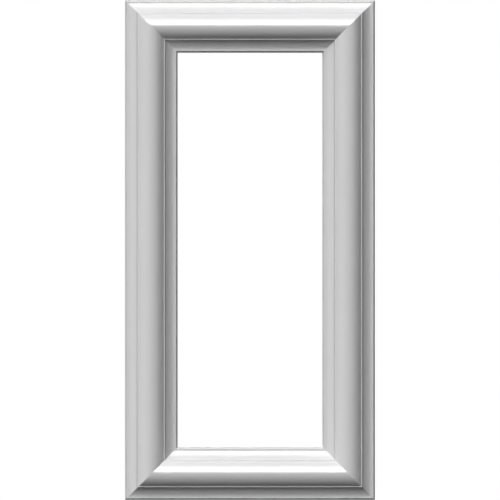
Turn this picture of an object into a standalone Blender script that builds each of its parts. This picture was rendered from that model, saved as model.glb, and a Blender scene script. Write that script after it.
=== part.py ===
"""
Moulded wainscot panel: one rectangular frame of panel moulding, cast in one piece.

The frame is fixed flat on a wall. Its back is the plane y = 0 and its face looks along -Y,
X runs across it and +Z runs up. The origin is on the back, at the middle of the bottom rail.
Lengths are in metres and angles in degrees.
"""

import math

import bmesh
import bpy

# Outside of the frame
PANEL_WIDTH = 0.2032
PANEL_HEIGHT = 0.4064

# Section of the moulding: the drafted side and the flat land at its edge
EDGE_THICKNESS = 0.00279
EDGE_DRAFT = 23.0
EDGE_ARRIS = 0.00035
LAND_WIDTH = 0.0008

# Section: the cove, with a tight foot, a flatter middle and a head that steepens to the fillet
COVE_FOOT_RADIUS = 0.007
COVE_FOOT_TURN = 22.0
COVE_MIDDLE_RADIUS = 0.0175
COVE_MIDDLE_TURN = 8.0
COVE_HEAD_RADIUS = 0.0105
COVE_HEAD_TURN = 25.0

# Section: the small flat fillet between the cove and the torus
FILLET_WIDTH = 0.00055
FILLET_ARRIS = 0.0003
VALLEY_RADIUS = 0.00025

# Section: the torus, the round member on the centre line
TORUS_WIDTH = 0.02
TORUS_RISE = 0.00503

# Facets along each curve of the half section
ARRIS_FACETS = 4
COVE_FOOT_FACETS = 5
COVE_MIDDLE_FACETS = 3
COVE_HEAD_FACETS = 5
TORUS_FACETS = 14

# Faces that meet at more than this angle keep a crisp edge between them
CREASE_ANGLE = 20.0

# Satin white primer
PRIMER_COLOUR = (0.82, 0.82, 0.81, 1.0)
PRIMER_ROUGHNESS = 0.35


class SectionPath:
    """A section drawn as (inset, height) points, by straight runs and by arcs tangent to them."""

    def __init__(self, heading):
        self.points = [(0.0, 0.0)]
        self.heading = heading

    def straight(self, length):
        inset, height = self.points[-1]
        slope = math.radians(self.heading)
        self.points.append((inset + length * math.cos(slope), height + length * math.sin(slope)))

    def arc(self, radius, turn, facets):
        """A positive turn hollows the section, a negative one rounds it."""
        inset, height = self.points[-1]
        swing = math.copysign(radius, turn)
        start = math.radians(self.heading)
        centre_inset = inset - swing * math.sin(start)
        centre_height = height + swing * math.cos(start)
        for step in range(1, facets + 1):
            slope = start + math.radians(turn) * step / facets
            self.points.append((centre_inset + swing * math.sin(slope), centre_height - swing * math.cos(slope)))
        self.heading += turn


def half_section():
    """The section from the outer edge on the wall to the crest on the moulding's centre line."""
    side_slope = 90.0 - EDGE_DRAFT
    arris_rise = EDGE_ARRIS * (1.0 - math.cos(math.radians(side_slope)))
    half_torus = TORUS_WIDTH / 2.0
    torus_radius = (half_torus ** 2 + TORUS_RISE ** 2) / (2.0 * TORUS_RISE)
    torus_slope = math.degrees(2.0 * math.atan2(TORUS_RISE, half_torus))

    path = SectionPath(side_slope)
    path.straight((EDGE_THICKNESS - arris_rise) / math.sin(math.radians(side_slope)))
    path.arc(EDGE_ARRIS, -side_slope, ARRIS_FACETS)
    path.straight(LAND_WIDTH)
    path.arc(COVE_FOOT_RADIUS, COVE_FOOT_TURN, COVE_FOOT_FACETS)
    path.arc(COVE_MIDDLE_RADIUS, COVE_MIDDLE_TURN, COVE_MIDDLE_FACETS)
    path.arc(COVE_HEAD_RADIUS, COVE_HEAD_TURN, COVE_HEAD_FACETS)
    path.arc(FILLET_ARRIS, -path.heading, ARRIS_FACETS)
    path.straight(FILLET_WIDTH)
    path.arc(VALLEY_RADIUS, torus_slope, ARRIS_FACETS)
    path.arc(torus_radius, -torus_slope, TORUS_FACETS)
    return path.points


def whole_section():
    """The half section and its mirror image, from the outer edge to the edge of the opening."""
    outer_half = half_section()
    crest_inset = outer_half[-1][0]
    inner_half = [(2.0 * crest_inset - inset, height) for inset, height in reversed(outer_half[:-1])]
    return outer_half + inner_half


def mitred_loop(mesh, inset, height, moulding_width):
    """The rectangle that one point of the section draws round the frame, mitred at its corners."""
    side = PANEL_WIDTH / 2.0 - inset
    bottom = inset - moulding_width / 2.0
    top = PANEL_HEIGHT - moulding_width / 2.0 - inset
    corners = ((-side, bottom), (side, bottom), (side, top), (-side, top))
    return [mesh.verts.new((across, -height, up)) for across, up in corners]


def frame_mesh(name):
    """Carries the section round the rectangle and closes it along the flat back."""
    section = whole_section()
    moulding_width = section[-1][0]
    solid = bmesh.new()
    loops = [mitred_loop(solid, inset, height, moulding_width) for inset, height in section]
    for near, far in zip(loops, loops[1:] + loops[:1]):
        for corner in range(4):
            following = (corner + 1) % 4
            solid.faces.new((near[corner], near[following], far[following], far[corner]))
    bmesh.ops.recalc_face_normals(solid, faces=solid.faces)
    mesh = bpy.data.meshes.new(name)
    solid.to_mesh(mesh)
    solid.free()
    mesh.shade_smooth()
    mesh.set_sharp_from_angle(angle=math.radians(CREASE_ANGLE))
    return mesh


def primer_material():
    """Satin white primer over the whole casting."""
    material = bpy.data.materials.new("satin_white_primer")
    material.use_nodes = True
    surface = material.node_tree.nodes["Principled BSDF"]
    surface.inputs["Base Color"].default_value = PRIMER_COLOUR
    surface.inputs["Roughness"].default_value = PRIMER_ROUGHNESS
    surface.inputs["Metallic"].default_value = 0.0
    return material


def main():
    for leftover in list(bpy.data.objects):
        bpy.data.objects.remove(leftover, do_unlink=True)
    mesh = frame_mesh("moulded_frame")
    mesh.materials.append(primer_material())
    frame = bpy.data.objects.new("moulded_frame", mesh)
    bpy.context.scene.collection.objects.link(frame)


main()
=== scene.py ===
"""
Moulded wainscot panel in satin white primer, on a pale studio stage.

The panel is one casting: a torus between two coves, carried round a rectangle and mitred at its
corners. Its back is flat on the plane y = 0 and its face looks along -Y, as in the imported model.
Lengths are in metres and angles in radians.
"""

import math

import bmesh
import bpy
from bpy.props import FloatProperty, FloatVectorProperty, IntProperty, PointerProperty
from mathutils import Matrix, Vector


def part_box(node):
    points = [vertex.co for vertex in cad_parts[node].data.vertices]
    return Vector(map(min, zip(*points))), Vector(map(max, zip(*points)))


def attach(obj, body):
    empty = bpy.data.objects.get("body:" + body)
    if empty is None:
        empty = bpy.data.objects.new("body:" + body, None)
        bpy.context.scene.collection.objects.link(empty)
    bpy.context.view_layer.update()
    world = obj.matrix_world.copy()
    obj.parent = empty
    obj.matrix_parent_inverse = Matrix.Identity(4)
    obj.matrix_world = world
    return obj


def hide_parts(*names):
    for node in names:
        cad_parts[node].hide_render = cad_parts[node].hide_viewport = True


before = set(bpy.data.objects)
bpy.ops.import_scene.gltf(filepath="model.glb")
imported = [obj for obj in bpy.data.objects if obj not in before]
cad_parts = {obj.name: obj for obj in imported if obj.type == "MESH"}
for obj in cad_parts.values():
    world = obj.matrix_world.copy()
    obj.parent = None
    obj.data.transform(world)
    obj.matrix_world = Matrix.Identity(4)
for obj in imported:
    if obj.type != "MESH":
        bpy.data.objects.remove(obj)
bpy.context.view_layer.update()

bl_info = {
    "name": "Moulded Wainscot Panel",
    "version": (1, 0, 0),
    "blender": (4, 5, 0),
    "location": "3D View > Sidebar > Wainscot",
    "description": "Builds a cast frame of panel moulding in white primer, and a pale studio stage",
    "category": "Add Mesh",
}

CAD_NODE = "moulded_frame"
BODY = "root"

# The frame's outside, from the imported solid
LOWEST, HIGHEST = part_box(CAD_NODE)
PANEL_WIDTH = HIGHEST.x - LOWEST.x
PANEL_HEIGHT = HIGHEST.z - LOWEST.z
WALL_CENTRE = Vector(((LOWEST.x + HIGHEST.x) / 2.0, HIGHEST.y, (LOWEST.z + HIGHEST.z) / 2.0))

# A vertex this close to a line or plane lies on it
ON_PLACE = 0.00001

# Faces that meet at more than this angle, in degrees, keep a crisp edge between them
CREASE_ANGLE = 30.0

# The even lights. Each has its name, its azimuth, elevation and spread in degrees, and the name of the
# stage's strength for it.
SUNS = (
    ("upper_left", -50.0, 35.0, 25.0, "left_strength"),
    ("upper_front", 0.0, 50.0, 25.0, "front_strength"),
    ("lower_front", 0.0, 35.0, 25.0, "lower_strength"),
    ("high_left", -40.0, 65.0, 25.0, "high_strength"),
    ("overhead", 0.0, 80.0, 40.0, "top_strength"),
    ("left_side", -50.0, 0.0, 40.0, "side_strength"),
    ("low_right", 75.0, -50.0, 40.0, "low_strength"),
    ("back_left", -168.0, 15.0, 40.0, "back_left_strength"),
    ("back_right", 159.0, 15.0, 40.0, "back_right_strength"),
)
SUN_DISTANCE = 2.0

# Point attribute: how sharply the surface folds, from -1 on an arris to 1 in a hollow. The primer's
# roughness reads it as pooled primer, and its colour as painted shade in the hollows and painted highlight
# on the arrises. The folds at a vertex reach either end at this many degrees together.
FOLD_POOLING_AND_SHADE = "primer_pooling"
FULL_FOLD_TURN = 30.0

# Point attribute: 1 along a line of painted shade beside each fillet, and 0 elsewhere
PAINTED_SHADE_LINE = "thin_primer_line"

# A surface whose normal rises more than this faces the light from above, and the painted shade line is left
# off it
FACES_UP = 0.3


def length(name, description, default):
    return FloatProperty(
        name=name, description=description, default=default, min=0.0, unit="LENGTH", precision=5,
    )


def angle(name, description, default):
    return FloatProperty(
        name=name, description=description, default=math.radians(default), subtype="ANGLE",
    )


def amount(name, description, default, highest=1.0):
    return FloatProperty(name=name, description=description, default=default, min=0.0, max=highest)


def facet_count(name, description, default):
    return IntProperty(name=name, description=description, default=default, min=1)


def paint(name, description, default):
    return FloatVectorProperty(
        name=name, description=description, default=default, size=3, subtype="COLOR",
    )


class WainscotSection(bpy.types.PropertyGroup):
    """The moulding's section, from its outer edge to the crest on its centre line."""

    edge_thickness: length("Edge Thickness", "Height of the flat land above the wall", 0.00279)
    edge_draft: angle("Edge Draft", "Lean of the edge, so that the casting leaves its mould", 23.0)
    edge_arris: length("Edge Arris", "Radius between the drafted edge and the land", 0.00035)
    land_width: length("Land Width", "Flat strip between the edge and the cove", 0.0008)
    cove_foot_radius: length("Cove Foot Radius", "Tight radius at the foot of the cove", 0.007)
    cove_foot_turn: angle("Cove Foot Turn", "How far the foot of the cove turns", 22.0)
    cove_middle_radius: length("Cove Middle Radius", "Flatter radius along the middle of the cove", 0.0175)
    cove_middle_turn: angle("Cove Middle Turn", "How far the middle of the cove turns", 8.0)
    cove_head_radius: length("Cove Head Radius", "Radius at the head of the cove, below the fillet", 0.0105)
    cove_head_turn: angle("Cove Head Turn", "How far the head of the cove turns", 25.0)
    fillet_width: length("Fillet Width", "Flat of the fillet between cove and torus", 0.00055)
    fillet_arris: length("Fillet Arris", "Radius of the fillet's outer arris", 0.0003)
    valley_radius: length("Valley Radius", "Radius where the fillet meets the torus", 0.00025)
    torus_width: length("Torus Width", "Width of the round member across its feet", 0.02)
    torus_rise: length("Torus Rise", "Height of the round member above its feet", 0.00503)
    mitre_softness: length("Mitre Softness", "Rounding along the mitre lines", 0.00012)
    arris_facets: facet_count("Arris Facets", "Facets round each small radius", 8)
    cove_facets: facet_count("Cove Facets", "Facets along each arc of a cove", 10)
    torus_facets: facet_count("Torus Facets", "Facets along half the torus", 32)
    mitre_facets: facet_count("Mitre Facets", "Facets across each mitre line", 3)


class WainscotPrimer(bpy.types.PropertyGroup):
    """The sprayed white primer on the face and the edges."""

    colour: paint("Colour", "Colour of the primer", (0.82, 0.82, 0.818))
    roughness: amount("Roughness", "Roughness of the dry primer", 0.16)
    mottle_size: length("Mottle Size", "Width of the faint patches left by the spray", 0.045)
    mottle: amount("Mottle", "How far the patches differ in shade", 0.008)
    gloss_swing: amount("Gloss Swing", "How far the patches differ in roughness", 0.03)
    peel_size: length("Peel Size", "Width of the ripples in the sprayed film", 0.0016)
    peel_height: length("Peel Height", "Height of the ripples in the sprayed film", 0.000003)
    nib_size: length("Nib Size", "Spacing of the dust nibs", 0.009)
    nib_radius: amount("Nib Radius", "Radius of a dust nib, as a share of their spacing", 0.03)
    nib_height: length("Nib Height", "Height of a dust nib", 0.00001)
    # Painted shade in the hollows and painted highlight on the arrises, by this share
    painted_fold_shade: amount("Pooling Shade", "How much a pooled film of primer differs in shade", 0.015)
    pooling_gloss: amount("Pooling Gloss", "How much smoother a pooled film of primer dries", 0.04)
    # A line of painted shade on the head of each cove beside its fillet: its gap from the fillet, its width
    # and its darkness
    shade_line_gap: length("Thin Line Gap", "Gap between a fillet and the line of thin primer", 0.0002)
    shade_line_width: length("Thin Line Width", "Width of the line where the primer lies thin", 0.0007)
    shade_line_darkness: amount("Thin Line Shade", "How much darker the line of thin primer is", 0.23)


class WainscotBack(bpy.types.PropertyGroup):
    """The sanded back of the casting, which the wall hides."""

    colour: paint("Foam Colour", "Colour of the bare rigid foam", (0.8, 0.76, 0.66))
    # Painted shade: the darker colour inside the open pores
    pore_shade_colour: paint("Pore Colour", "Colour inside the open pores", (0.42, 0.38, 0.3))
    roughness: amount("Roughness", "Roughness of the sanded foam", 0.75)
    pore_size: length("Pore Size", "Spacing of the pores that sanding opened", 0.0011)
    pore_radius: amount("Pore Radius", "Radius of an open pore, as a share of their spacing", 0.34)
    pore_depth: length("Pore Depth", "Depth of an open pore", 0.00012)
    scratch_width: length("Scratch Width", "Spacing of the sanding scratches", 0.0004)
    scratch_length: length("Scratch Length", "Length of the sanding scratches", 0.03)
    scratch_depth: length("Scratch Depth", "Depth of the sanding scratches", 0.00001)
    patch_size: length("Patch Size", "Width of the patches where the foam differs in shade", 0.03)
    patch_shade: amount("Patch Shade", "How far the patches of the foam differ in shade", 0.06)
    overspray_width: length("Overspray Width", "How far primer crept over the edges", 0.006)
    overspray_drift: amount("Overspray Drift", "How ragged the primer's edge is", 1.6, 5.0)
    overspray_cover: amount("Overspray Cover", "How thickly the primer lies at the edges", 1.4, 5.0)
    overspray_gloss: amount("Overspray Gloss", "How much smoother the primer is than the foam", 0.3)


class WainscotStage(bpy.types.PropertyGroup):
    """The floor, the lights and the camera."""

    floor_colour: paint("Floor Colour", "Colour of the pale floor", (0.86, 0.86, 0.86))
    floor_drop: length("Floor Drop", "Gap between the panel and the floor", 0.08)
    floor_radius: length("Floor Radius", "Reach of the floor round the panel", 1.5)
    floor_roughness: amount("Floor Roughness", "Roughness of the floor", 0.9)
    fade_start: amount("Fade Start", "Where the floor starts to fade, as a share of its reach", 0.35)
    fade_end: amount("Fade End", "Where the floor is clear, as a share of its reach", 0.98)
    left_strength: amount("Left Strength", "Strength of the soft light from the upper left", 1.59, 50.0)
    front_strength: amount("Front Strength", "Strength of the soft light from above in front", 0.74, 50.0)
    lower_strength: amount("Lower Strength", "Strength of the soft light below that one", 0.4, 50.0)
    high_strength: amount("High Strength", "Strength of the light from high on the left", 0.345, 50.0)
    top_strength: amount("Top Strength", "Strength of the broad light from overhead", 0.375, 50.0)
    side_strength: amount("Side Strength", "Strength of the weak light from the left", 0.16, 50.0)
    low_strength: amount("Low Strength", "Strength of the weak light from below on the right", 0.245, 50.0)
    back_left_strength: amount("Back Left Strength", "Strength of the light behind the left", 1.0, 50.0)
    back_right_strength: amount("Back Right Strength", "Strength of the light behind the right", 1.3, 50.0)
    sheen_strength: amount("Sheen Strength", "Radiance of the softbox for the gloss alone", 11.76, 500.0)
    sheen_bottom: angle("Sheen Bottom", "Elevation of the softbox's lower edge", 8.5)
    sheen_top: angle("Sheen Top", "Elevation of the softbox's upper edge", 45.0)
    sheen_width: angle("Sheen Width", "How wide the softbox looks from the panel", 77.0)
    sheen_distance: length("Sheen Distance", "Distance of the softbox from the panel", 5.0)
    room_light: amount("Room Light", "Light that comes evenly from all round", 0.008)
    margin: length("Margin", "Gap between the panel and the top and the bottom of the picture", 0.00012)
    lens: FloatProperty(
        name="Lens", description="Focal length for the square-on view", default=1000.0, unit="CAMERA",
    )
    sensor: FloatProperty(
        name="Sensor", description="Width of the camera's sensor", default=36.0, unit="CAMERA",
    )
    far_clip: length("Far Clip", "Distance from the camera beyond which it sees nothing", 100.0)


class SectionPath:
    """A section drawn as (inset, height) points, by straight runs and by arcs tangent to them."""

    def __init__(self, heading):
        self.points = [(0.0, 0.0)]
        self.heading = heading

    def straight(self, distance):
        inset, height = self.points[-1]
        along, up = math.cos(self.heading), math.sin(self.heading)
        self.points.append((inset + distance * along, height + distance * up))

    def arc(self, radius, turn, facets):
        """A positive turn hollows the section, a negative one rounds it."""
        inset, height = self.points[-1]
        swing = math.copysign(radius, turn)
        centre_inset = inset - swing * math.sin(self.heading)
        centre_height = height + swing * math.cos(self.heading)
        for step in range(1, facets + 1):
            slope = self.heading + turn * step / facets
            self.points.append(
                (centre_inset + swing * math.sin(slope), centre_height - swing * math.cos(slope))
            )
        self.heading += turn


def whole_section(sizes):
    """The section from the outer edge to the edge of the opening, and the inset of its first fillet."""
    side_slope = math.pi / 2.0 - sizes.edge_draft
    arris_rise = sizes.edge_arris * (1.0 - math.cos(side_slope))
    half_torus = sizes.torus_width / 2.0
    torus_radius = (half_torus ** 2 + sizes.torus_rise ** 2) / (2.0 * sizes.torus_rise)
    torus_slope = 2.0 * math.atan2(sizes.torus_rise, half_torus)

    path = SectionPath(side_slope)
    path.straight((sizes.edge_thickness - arris_rise) / math.sin(side_slope))
    path.arc(sizes.edge_arris, -side_slope, sizes.arris_facets)
    path.straight(sizes.land_width)
    path.arc(sizes.cove_foot_radius, sizes.cove_foot_turn, sizes.cove_facets)
    path.arc(sizes.cove_middle_radius, sizes.cove_middle_turn, sizes.cove_facets)
    path.arc(sizes.cove_head_radius, sizes.cove_head_turn, sizes.cove_facets)
    fillet_inset = path.points[-1][0]
    path.arc(sizes.fillet_arris, -path.heading, sizes.arris_facets)
    path.straight(sizes.fillet_width)
    path.arc(sizes.valley_radius, torus_slope, sizes.arris_facets)
    path.arc(torus_radius, -torus_slope, sizes.torus_facets)

    crest = path.points[-1][0]
    inner_half = [(2.0 * crest - inset, height) for inset, height in reversed(path.points[:-1])]
    return path.points + inner_half, fillet_inset


def insets(point):
    """How far a point lies in from the nearer side of the panel, and from its nearer end."""
    from_side = PANEL_WIDTH / 2.0 - abs(point.x - WALL_CENTRE.x)
    from_end = PANEL_HEIGHT / 2.0 - abs(point.z - WALL_CENTRE.z)
    return from_side, from_end


def on_mitre(point):
    """True on the 45 degree planes that run in from the four corners."""
    from_side, from_end = insets(point)
    return abs(from_side - from_end) < ON_PLACE


def wall_plate(name):
    """A flat plate of the panel's outside size, lying on the wall and facing out of it."""
    bpy.ops.object.select_all(action="DESELECT")
    bpy.ops.mesh.primitive_plane_add(size=1.0, location=WALL_CENTRE, rotation=(math.pi / 2.0, 0.0, 0.0))
    plate = bpy.context.object
    plate.name = name
    plate.data.name = name
    plate.scale = (PANEL_WIDTH, PANEL_HEIGHT, 1.0)
    bpy.ops.object.transform_apply(location=True, rotation=True, scale=True)
    return plate


def raise_section(section):
    """Insets the plate from one point of the section to the next, which mitres the corners."""
    bpy.ops.mesh.select_all(action="SELECT")
    for (inset, height), (next_inset, next_height) in zip(section, section[1:]):
        bpy.ops.mesh.inset(thickness=next_inset - inset, depth=next_height - height)
    bpy.ops.mesh.delete(type="FACE")


def soften_mitres(piece, softness, facets):
    """Rounds the four mitre lines a little, from the wall to the edge of the opening."""
    bpy.ops.mesh.select_mode(type="EDGE")
    bpy.ops.mesh.select_all(action="DESELECT")
    mesh = bmesh.from_edit_mesh(piece.data)
    for edge in mesh.edges:
        if on_mitre((edge.verts[0].co + edge.verts[1].co) / 2.0):
            edge.select_set(True)
    bmesh.update_edit_mesh(piece.data)
    bpy.ops.mesh.bevel(
        offset=softness, offset_type="OFFSET", segments=facets, profile=0.5,
        affect="EDGES", clamp_overlap=False,
    )


def close_back():
    """Joins the outline and the edge of the opening across the flat back."""
    bpy.ops.mesh.select_all(action="DESELECT")
    bpy.ops.mesh.select_non_manifold(
        extend=False, use_wire=False, use_boundary=True, use_multi_face=False,
        use_non_contiguous=False, use_verts=False,
    )
    bpy.ops.mesh.bridge_edge_loops()
    bpy.ops.mesh.select_all(action="SELECT")
    bpy.ops.mesh.normals_make_consistent(inside=False)


def smooth(piece, crease_angle):
    """Smooth shading that keeps the broad faces flat beside the mitres, and the edge at the wall crisp."""
    bpy.ops.object.shade_smooth_by_angle(angle=crease_angle)
    modifier = piece.modifiers.new("flat_faces_lead", "WEIGHTED_NORMAL")
    modifier.mode = "FACE_AREA"
    modifier.keep_sharp = True
    bpy.ops.object.modifier_apply(modifier=modifier.name)


def add_node(tree, kind, place, **settings):
    """A node of that kind. Settings that name a socket set its value, the others are the node's own."""
    node = tree.nodes.new(kind)
    node.location = place
    for key, value in settings.items():
        socket = node.inputs.get(key.replace("_", " ").title())
        if socket is None:
            setattr(node, key, value)
        else:
            socket.default_value = value
    return node


def new_group(name, inputs, outputs):
    """An empty shader node group with sockets of these (name, type) pairs."""
    group = bpy.data.node_groups.new(name, "ShaderNodeTree")
    for label, kind in inputs:
        group.interface.new_socket(name=label, in_out="INPUT", socket_type=kind)
    for label, kind in outputs:
        group.interface.new_socket(name=label, in_out="OUTPUT", socket_type=kind)
    return group


def wire(tree, source, target):
    """Links an output socket to an input socket."""
    tree.links.new(source, target)


def scaled_place(group, given, size_label):
    """Coordinates divided by a size, so that a pattern repeats about once in that size."""
    divide = add_node(group, "ShaderNodeVectorMath", (-600, 0), operation="DIVIDE")
    wire(group, given.outputs["Vector"], divide.inputs[0])
    wire(group, given.outputs[size_label], divide.inputs[1])
    return divide.outputs["Vector"]


def ripple_group():
    """Soft, even ripples such as a sprayed film dries with. Height is from 0 to 1."""
    group = new_group(
        "sprayed_film_ripples",
        [("Vector", "NodeSocketVector"), ("Size", "NodeSocketFloat")],
        [("Height", "NodeSocketFloat")],
    )
    given = add_node(group, "NodeGroupInput", (-800, 0))
    result = add_node(group, "NodeGroupOutput", (200, 0))
    noise = add_node(group, "ShaderNodeTexNoise", (-300, 0), scale=1.0, detail=1.5, roughness=0.4)
    wire(group, scaled_place(group, given, "Size"), noise.inputs["Vector"])
    wire(group, noise.outputs["Fac"], result.inputs["Height"])
    return group


def patch_group():
    """Faint cloudy patches. Shade is a multiplier near 1, and Patch is from 0 to 1."""
    group = new_group(
        "cloudy_patches",
        [("Vector", "NodeSocketVector"), ("Size", "NodeSocketFloat"), ("Strength", "NodeSocketFloat")],
        [("Shade", "NodeSocketFloat"), ("Patch", "NodeSocketFloat")],
    )
    given = add_node(group, "NodeGroupInput", (-800, 0))
    result = add_node(group, "NodeGroupOutput", (400, 0))
    noise = add_node(group, "ShaderNodeTexNoise", (-300, 0), scale=1.0, detail=3.0, roughness=0.55)
    centred = add_node(group, "ShaderNodeMath", (-100, 0), operation="SUBTRACT")
    centred.inputs[1].default_value = 0.5
    swing = add_node(group, "ShaderNodeMath", (60, 0), operation="MULTIPLY_ADD")
    swing.inputs[2].default_value = 1.0
    wire(group, scaled_place(group, given, "Size"), noise.inputs["Vector"])
    wire(group, noise.outputs["Fac"], centred.inputs[0])
    wire(group, centred.outputs["Value"], swing.inputs[0])
    wire(group, given.outputs["Strength"], swing.inputs[1])
    wire(group, swing.outputs["Value"], result.inputs["Shade"])
    wire(group, noise.outputs["Fac"], result.inputs["Patch"])
    return group


def speck_group():
    """Scattered round specks, one to a cell. Speck is 1 at the middle of a speck and 0 outside it."""
    group = new_group(
        "scattered_specks",
        [("Vector", "NodeSocketVector"), ("Size", "NodeSocketFloat"), ("Radius", "NodeSocketFloat")],
        [("Speck", "NodeSocketFloat")],
    )
    given = add_node(group, "NodeGroupInput", (-800, 0))
    result = add_node(group, "NodeGroupOutput", (400, 0))
    cells = add_node(group, "ShaderNodeTexVoronoi", (-300, 0), scale=1.0, randomness=1.0)
    fall = add_node(group, "ShaderNodeMapRange", (100, 0), interpolation_type="SMOOTHSTEP")
    fall.inputs["From Min"].default_value = 0.0
    fall.inputs["To Min"].default_value = 1.0
    fall.inputs["To Max"].default_value = 0.0
    wire(group, scaled_place(group, given, "Size"), cells.inputs["Vector"])
    wire(group, cells.outputs["Distance"], fall.inputs["Value"])
    wire(group, given.outputs["Radius"], fall.inputs["From Max"])
    wire(group, fall.outputs["Result"], result.inputs["Speck"])
    return group


def rim_group():
    """Nearness to the outline or the opening, across the back. Rim is 1 there and 0 beyond Reach."""
    group = new_group(
        "nearness_to_rim",
        [("Vector", "NodeSocketVector"), ("Band", "NodeSocketFloat"), ("Reach", "NodeSocketFloat")],
        [("Rim", "NodeSocketFloat")],
    )
    given = add_node(group, "NodeGroupInput", (-1400, 0))
    result = add_node(group, "NodeGroupOutput", (400, 0))
    centred = add_node(group, "ShaderNodeVectorMath", (-1200, 0), operation="SUBTRACT")
    centred.inputs[1].default_value = WALL_CENTRE
    spread = add_node(group, "ShaderNodeVectorMath", (-1040, 0), operation="ABSOLUTE")
    inward = add_node(group, "ShaderNodeVectorMath", (-880, 0), operation="SUBTRACT")
    inward.inputs[0].default_value = (PANEL_WIDTH / 2.0, 0.0, PANEL_HEIGHT / 2.0)
    parts = add_node(group, "ShaderNodeSeparateXYZ", (-720, 0))
    inset = add_node(group, "ShaderNodeMath", (-560, 0), operation="MINIMUM")
    other = add_node(group, "ShaderNodeMath", (-400, -160), operation="SUBTRACT")
    nearest = add_node(group, "ShaderNodeMath", (-240, 0), operation="MINIMUM")
    fall = add_node(group, "ShaderNodeMapRange", (100, 0), interpolation_type="SMOOTHSTEP")
    fall.inputs["From Min"].default_value = 0.0
    fall.inputs["To Min"].default_value = 1.0
    fall.inputs["To Max"].default_value = 0.0
    wire(group, given.outputs["Vector"], centred.inputs[0])
    wire(group, centred.outputs["Vector"], spread.inputs[0])
    wire(group, spread.outputs["Vector"], inward.inputs[1])
    wire(group, inward.outputs["Vector"], parts.inputs["Vector"])
    wire(group, parts.outputs["X"], inset.inputs[0])
    wire(group, parts.outputs["Z"], inset.inputs[1])
    wire(group, given.outputs["Band"], other.inputs[0])
    wire(group, inset.outputs["Value"], other.inputs[1])
    wire(group, inset.outputs["Value"], nearest.inputs[0])
    wire(group, other.outputs["Value"], nearest.inputs[1])
    wire(group, nearest.outputs["Value"], fall.inputs["Value"])
    wire(group, given.outputs["Reach"], fall.inputs["From Max"])
    wire(group, fall.outputs["Result"], result.inputs["Rim"])
    return group


def new_material(name):
    """A material with an empty tree but for its Principled shader and its output."""
    material = bpy.data.materials.new(name)
    material.use_nodes = True
    return material, material.node_tree, material.node_tree.nodes["Principled BSDF"]


def add_effect(tree, group, place, at, **settings):
    """A shared node group, read at these coordinates, with its other inputs set."""
    node = add_node(tree, "ShaderNodeGroup", at, node_tree=group)
    for name, value in settings.items():
        node.inputs[name.replace("_", " ").title()].default_value = value
    wire(tree, place, node.inputs["Vector"])
    return node


def add_math(tree, operation, at, *values):
    """A math node. Each value is a number or an output socket."""
    node = add_node(tree, "ShaderNodeMath", at, operation=operation)
    for socket, value in zip(node.inputs, values):
        if isinstance(value, bpy.types.NodeSocket):
            wire(tree, value, socket)
        else:
            socket.default_value = value
    return node.outputs["Value"]


def add_mix(tree, at, factor, first, second):
    """A colour mixed from two. Each is a colour of three parts or an output socket."""
    mix = add_node(tree, "ShaderNodeMix", at, data_type="RGBA")
    wire(tree, factor, mix.inputs[0])
    for socket, value in zip(mix.inputs[6:8], (first, second)):
        if isinstance(value, bpy.types.NodeSocket):
            wire(tree, value, socket)
        else:
            socket.default_value = (*value, 1.0)
    return mix.outputs[2]


def add_bump(tree, height, depth, under, at):
    """A bump of that depth over the normal below it, if there is one."""
    bump = add_node(tree, "ShaderNodeBump", at, distance=depth, strength=1.0)
    wire(tree, height, bump.inputs["Height"])
    if under:
        wire(tree, under, bump.inputs["Normal"])
    return bump.outputs["Normal"]


def primer_material(finish, effects):
    """Satin white primer: cloudy by less than the eye notices, with the ripple of a sprayed film."""
    material, tree, surface = new_material("satin_white_primer")
    place = add_node(tree, "ShaderNodeTexCoord", (-1400, 0)).outputs["Object"]
    cloud = add_effect(
        tree, effects["patches"], place, (-1100, 200),
        size=finish.mottle_size, strength=2.0 * finish.mottle,
    )
    ripple = add_effect(tree, effects["ripples"], place, (-1100, -200), size=finish.peel_size)
    nibs = add_effect(
        tree, effects["specks"], place, (-1100, -400), size=finish.nib_size, radius=finish.nib_radius,
    )
    pooling_and_fold_shade = add_node(tree, "ShaderNodeAttribute", (-1100, 400), attribute_name=FOLD_POOLING_AND_SHADE).outputs["Fac"]

    # Painted shade in the hollows and painted highlight on the arrises
    fold_shade_factor = add_math(tree, "MULTIPLY_ADD", (-800, 400), pooling_and_fold_shade, -finish.painted_fold_shade, 1.0)
    # Painted shade along a line beside each fillet
    shade_line = add_node(tree, "ShaderNodeAttribute", (-1100, 600), attribute_name=PAINTED_SHADE_LINE).outputs["Fac"]
    shade_line_factor = add_math(tree, "MULTIPLY_ADD", (-800, 600), shade_line, -finish.shade_line_darkness, 1.0)
    # The painted shades together, then the random mottle
    painted_shade = add_math(tree, "MULTIPLY", (-620, 500), fold_shade_factor, shade_line_factor)
    shade = add_math(tree, "MULTIPLY", (-620, 300), cloud.outputs["Shade"], painted_shade)
    colour = add_node(tree, "ShaderNodeVectorMath", (-440, 300), operation="SCALE")
    colour.inputs[0].default_value = finish.colour
    wire(tree, shade, colour.inputs["Scale"])
    wire(tree, colour.outputs["Vector"], surface.inputs["Base Color"])

    patchy = add_math(
        tree, "MULTIPLY_ADD", (-800, 100), cloud.outputs["Patch"],
        2.0 * finish.gloss_swing, finish.roughness - finish.gloss_swing,
    )
    glossy = add_math(tree, "MULTIPLY_ADD", (-620, 100), pooling_and_fold_shade, -finish.pooling_gloss, patchy)
    wire(tree, glossy, surface.inputs["Roughness"])

    film = add_bump(tree, ripple.outputs["Height"], finish.peel_height, None, (-620, -200))
    dusty = add_bump(tree, nibs.outputs["Speck"], finish.nib_height, film, (-440, -400))
    wire(tree, dusty, surface.inputs["Normal"])
    return material


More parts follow.
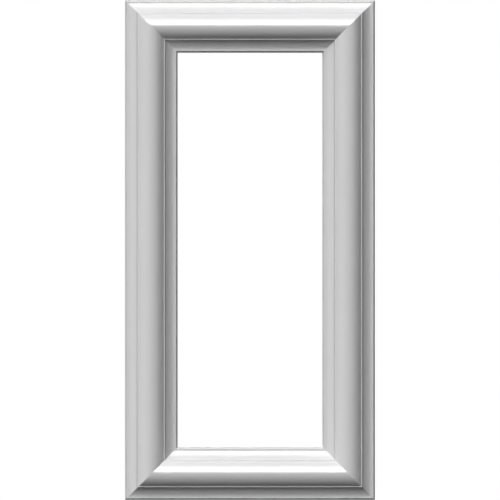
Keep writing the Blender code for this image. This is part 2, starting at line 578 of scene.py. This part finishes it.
def back_material(back, finish, band, effects):
    """Bare rigid foam, sanded flat, with pores in painted shade, scratches and a little primer round the
    rims.
    """
    material, tree, surface = new_material("sanded_foam")
    place = add_node(tree, "ShaderNodeTexCoord", (-1600, 0)).outputs["Object"]
    lengthwise = add_node(tree, "ShaderNodeMapping", (-1400, -400))
    lengthwise.inputs["Scale"].default_value = (1.0, 1.0, back.scratch_width / back.scratch_length)
    wire(tree, place, lengthwise.inputs["Vector"])

    foam = add_effect(
        tree, effects["patches"], place, (-1100, 400),
        size=back.patch_size, strength=2.0 * back.patch_shade,
    )
    pores = add_effect(
        tree, effects["specks"], place, (-1100, 200), size=back.pore_size, radius=back.pore_radius,
    )
    scratches = add_effect(
        tree, effects["ripples"], lengthwise.outputs["Vector"], (-1100, -400), size=back.scratch_width,
    )
    rim = add_effect(tree, effects["rim"], place, (-1100, 0), band=band, reach=back.overspray_width)
    mist = add_effect(
        tree, effects["patches"], place, (-1100, -200), size=back.overspray_width / 2.0, strength=1.0,
    )

    bare = add_node(tree, "ShaderNodeVectorMath", (-800, 400), operation="SCALE")
    bare.inputs[0].default_value = back.colour
    wire(tree, foam.outputs["Shade"], bare.inputs["Scale"])
    # Painted shade in the open pores
    pores_shaded = add_mix(tree, (-620, 300), pores.outputs["Speck"], bare.outputs["Vector"], back.pore_shade_colour)

    drift = add_math(
        tree, "MULTIPLY_ADD", (-800, -100), mist.outputs["Patch"],
        back.overspray_drift, -back.overspray_drift / 2.0,
    )
    spread = add_math(
        tree, "MULTIPLY_ADD", (-620, -100), rim.outputs["Rim"], back.overspray_cover, drift,
    )
    overspray = add_node(tree, "ShaderNodeClamp", (-440, -100))
    wire(tree, spread, overspray.inputs["Value"])
    covered = add_mix(tree, (-260, 300), overspray.outputs["Result"], pores_shaded, finish.colour)
    wire(tree, covered, surface.inputs["Base Color"])
    smoother = add_math(
        tree, "MULTIPLY_ADD", (-260, 0), overspray.outputs["Result"], -back.overspray_gloss, back.roughness,
    )
    wire(tree, smoother, surface.inputs["Roughness"])

    sanded = add_bump(tree, scratches.outputs["Height"], back.scratch_depth, None, (-620, -400))
    open_pores = add_math(tree, "SUBTRACT", (-620, -250), 1.0, pores.outputs["Speck"])
    pitted_normal = add_bump(tree, open_pores, back.pore_depth, sanded, (-440, -300))
    wire(tree, pitted_normal, surface.inputs["Normal"])
    return material


def mark_fold_pooling_and_shade(piece):
    """Stores each vertex's folds, mitre included: pooled gloss, plus painted shade in hollows and highlight
    on arrises.
    """
    mesh = bmesh.new()
    mesh.from_mesh(piece.data)
    layer = mesh.verts.layers.float.new(FOLD_POOLING_AND_SHADE)
    for vertex in mesh.verts:
        turn = sum(-edge.calc_face_angle_signed() for edge in vertex.link_edges)
        vertex[layer] = max(-1.0, min(1.0, turn / math.radians(FULL_FOLD_TURN)))
    mesh.to_mesh(piece.data)
    mesh.free()


def mark_painted_shade_line(piece, band, fillet_inset, finish):
    """Stores a line of painted shade on the head of the cove beside each fillet, left off faces that look
    up.
    """
    near, far = finish.shade_line_gap, finish.shade_line_gap + finish.shade_line_width
    mesh = bmesh.new()
    mesh.from_mesh(piece.data)
    layer = mesh.verts.layers.float.new(PAINTED_SHADE_LINE)
    for vertex in mesh.verts:
        inset = min(insets(vertex.co))
        from_fillet = fillet_inset - min(inset, band - inset)
        in_shade_line = near < from_fillet < far and vertex.normal.z < FACES_UP
        vertex[layer] = 1.0 if in_shade_line else 0.0
    mesh.to_mesh(piece.data)
    mesh.free()


class WAINSCOT_OT_primed_frame(bpy.types.Operator):
    """Model the cast frame, with its section carried round the rectangle, and prime it"""

    bl_idname = "wainscot.primed_frame"
    bl_label = "Primed Frame"

    def execute(self, context):
        scene = context.scene
        sizes = scene.wainscot_section
        finish = scene.wainscot_primer
        section, fillet_inset = whole_section(sizes)
        band = section[-1][0]
        piece = wall_plate("primed_frame")
        bpy.ops.object.mode_set(mode="EDIT")
        raise_section(section)
        soften_mitres(piece, sizes.mitre_softness, sizes.mitre_facets)
        close_back()
        bpy.ops.object.mode_set(mode="OBJECT")
        smooth(piece, math.radians(CREASE_ANGLE))

        mark_fold_pooling_and_shade(piece)
        mark_painted_shade_line(piece, band, fillet_inset, finish)

        effects = {
            "ripples": ripple_group(),
            "patches": patch_group(),
            "specks": speck_group(),
            "rim": rim_group(),
        }
        piece.data.materials.append(primer_material(finish, effects))
        piece.data.materials.append(back_material(scene.wainscot_back, finish, band, effects))
        for face in piece.data.polygons:
            corners = [piece.data.vertices[index].co for index in face.vertices]
            on_back = all(WALL_CENTRE.y - corner.y < ON_PLACE for corner in corners)
            face.material_index = 1 if on_back else 0

        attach(piece, BODY)
        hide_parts(CAD_NODE)
        return {"FINISHED"}


def aim(thing, target):
    """Points a light or the camera at a place."""
    thing.rotation_euler = (target - thing.location).to_track_quat("-Z", "Y").to_euler()


def direction(azimuth, elevation):
    """From the panel outwards, in degrees. Azimuth 0 is straight out of its face, 90 to the right."""
    across, up = math.radians(azimuth), math.radians(elevation)
    return Vector((math.sin(across) * math.cos(up), -math.cos(across) * math.cos(up), math.sin(up)))


def add_sun(name, azimuth, elevation, strength, spread):
    """An even light from far off, as wide across as spread in degrees."""
    place = WALL_CENTRE + SUN_DISTANCE * direction(azimuth, elevation)
    bpy.ops.object.light_add(type="SUN", location=place)
    light = bpy.context.object
    light.name = name
    light.data.energy = strength
    light.data.angle = math.radians(spread)
    aim(light, WALL_CENTRE)
    return light


def floor_material(stage):
    """A pale matt floor that fades out at its rim and is clear from below."""
    material, tree, surface = new_material("pale_floor")
    surface.inputs["Base Color"].default_value = (*stage.floor_colour, 1.0)
    surface.inputs["Roughness"].default_value = stage.floor_roughness
    place = add_node(tree, "ShaderNodeTexCoord", (-1000, -200))
    reach = add_node(tree, "ShaderNodeVectorMath", (-800, -200), operation="LENGTH")
    fade = add_node(tree, "ShaderNodeMapRange", (-600, -200), interpolation_type="SMOOTHSTEP")
    fade.inputs["From Min"].default_value = stage.fade_start * stage.floor_radius
    fade.inputs["From Max"].default_value = stage.fade_end * stage.floor_radius
    fade.inputs["To Min"].default_value = 0.0
    fade.inputs["To Max"].default_value = 1.0
    side = add_node(tree, "ShaderNodeNewGeometry", (-600, -500))
    clear = add_node(tree, "ShaderNodeMath", (-400, -300), operation="MAXIMUM")
    window = add_node(tree, "ShaderNodeBsdfTransparent", (0, -200))
    mix = add_node(tree, "ShaderNodeMixShader", (300, 0))
    wire(tree, place.outputs["Object"], reach.inputs[0])
    wire(tree, reach.outputs["Value"], fade.inputs["Value"])
    wire(tree, fade.outputs["Result"], clear.inputs[0])
    wire(tree, side.outputs["Backfacing"], clear.inputs[1])
    wire(tree, clear.outputs["Value"], mix.inputs["Fac"])
    wire(tree, surface.outputs["BSDF"], mix.inputs[1])
    wire(tree, window.outputs["BSDF"], mix.inputs[2])
    wire(tree, mix.outputs["Shader"], tree.nodes["Material Output"].inputs["Surface"])
    return material


def add_floor(stage):
    """A round floor below the panel."""
    bpy.ops.object.select_all(action="DESELECT")
    bpy.ops.mesh.primitive_circle_add(
        vertices=96, radius=stage.floor_radius, fill_type="NGON",
        location=(WALL_CENTRE.x, WALL_CENTRE.y, LOWEST.z - stage.floor_drop),
    )
    floor = bpy.context.object
    floor.name = "floor"
    floor.data.materials.append(floor_material(stage))
    floor.visible_diffuse = False
    floor.visible_glossy = False
    floor.visible_shadow = False


def add_softbox(stage):
    """A broad softbox above in front of the panel, which only the gloss of the primer shows."""
    half_rise = (stage.sheen_top - stage.sheen_bottom) / 2.0
    middle = math.degrees(stage.sheen_bottom + half_rise)
    bpy.ops.object.light_add(
        type="AREA", location=WALL_CENTRE + stage.sheen_distance * direction(0.0, middle),
    )
    softbox = bpy.context.object
    softbox.name = "softbox"
    softbox.data.shape = "RECTANGLE"
    softbox.data.size = 2.0 * stage.sheen_distance * math.tan(stage.sheen_width / 2.0)
    softbox.data.size_y = 2.0 * stage.sheen_distance * math.tan(half_rise)
    softbox.data.energy = stage.sheen_strength * math.pi * softbox.data.size * softbox.data.size_y
    softbox.visible_diffuse = False
    softbox.visible_camera = False
    aim(softbox, WALL_CENTRE)


def light_room(stage):
    """A white room to look at, which gives only a little even light."""
    world = bpy.data.worlds.new("white_room")
    bpy.context.scene.world = world
    world.use_nodes = True
    tree = world.node_tree
    seen = add_node(tree, "ShaderNodeLightPath", (-600, 0))
    room = add_node(tree, "ShaderNodeMapRange", (-300, 0))
    room.inputs["To Min"].default_value = stage.room_light
    room.inputs["To Max"].default_value = 1.0
    wire(tree, seen.outputs["Is Camera Ray"], room.inputs["Value"])
    wire(tree, room.outputs["Result"], tree.nodes["Background"].inputs["Color"])


def add_camera(stage):
    """A long lens square on to the panel, whose height and margins fill the square picture."""
    bpy.ops.object.camera_add(location=WALL_CENTRE)
    camera = bpy.context.object
    camera.name = "square_on_camera"
    camera.data.lens = stage.lens
    camera.data.sensor_width = stage.sensor
    camera.data.clip_end = stage.far_clip
    view_height = PANEL_HEIGHT + 2.0 * stage.margin
    distance = stage.lens / stage.sensor * view_height
    camera.location = WALL_CENTRE + distance * direction(0.0, 0.0)
    aim(camera, WALL_CENTRE)
    bpy.context.scene.camera = camera


class WAINSCOT_OT_stage(bpy.types.Operator):
    """Lay the pale floor, hang the soft lights and set the camera square on to the panel"""

    bl_idname = "wainscot.stage"
    bl_label = "Stage"

    def execute(self, context):
        stage = context.scene.wainscot_stage
        add_floor(stage)
        for name, azimuth, elevation, spread, strength in SUNS:
            add_sun(name, azimuth, elevation, getattr(stage, strength), spread)
        add_softbox(stage)
        light_room(stage)
        add_camera(stage)
        context.scene.view_settings.view_transform = "Standard"
        return {"FINISHED"}


class WAINSCOT_PT_sidebar(bpy.types.Panel):
    """Lists the sizes, the finishes and the stage"""

    bl_label = "Moulded Wainscot Panel"
    bl_space_type = "VIEW_3D"
    bl_region_type = "UI"
    bl_category = "Wainscot"

    def draw(self, context):
        for label, group, operator in (
            ("Section", context.scene.wainscot_section, None),
            ("Primer", context.scene.wainscot_primer, None),
            ("Back", context.scene.wainscot_back, WAINSCOT_OT_primed_frame),
            ("Stage", context.scene.wainscot_stage, WAINSCOT_OT_stage),
        ):
            box = self.layout.box()
            box.label(text=label)
            for name in group.__annotations__:
                box.prop(group, name)
            if operator:
                box.operator(operator.bl_idname)


CLASSES = (
    WainscotSection, WainscotPrimer, WainscotBack, WainscotStage,
    WAINSCOT_OT_primed_frame, WAINSCOT_OT_stage, WAINSCOT_PT_sidebar,
)


def register():
    for each in CLASSES:
        bpy.utils.register_class(each)
    bpy.types.Scene.wainscot_section = PointerProperty(type=WainscotSection)
    bpy.types.Scene.wainscot_primer = PointerProperty(type=WainscotPrimer)
    bpy.types.Scene.wainscot_back = PointerProperty(type=WainscotBack)
    bpy.types.Scene.wainscot_stage = PointerProperty(type=WainscotStage)


def unregister():
    del bpy.types.Scene.wainscot_stage
    del bpy.types.Scene.wainscot_back
    del bpy.types.Scene.wainscot_primer
    del bpy.types.Scene.wainscot_section
    for each in reversed(CLASSES):
        bpy.utils.unregister_class(each)


def main():
    register()
    bpy.ops.wainscot.primed_frame()
    bpy.ops.wainscot.stage()


if __name__ == "__main__":
    main()
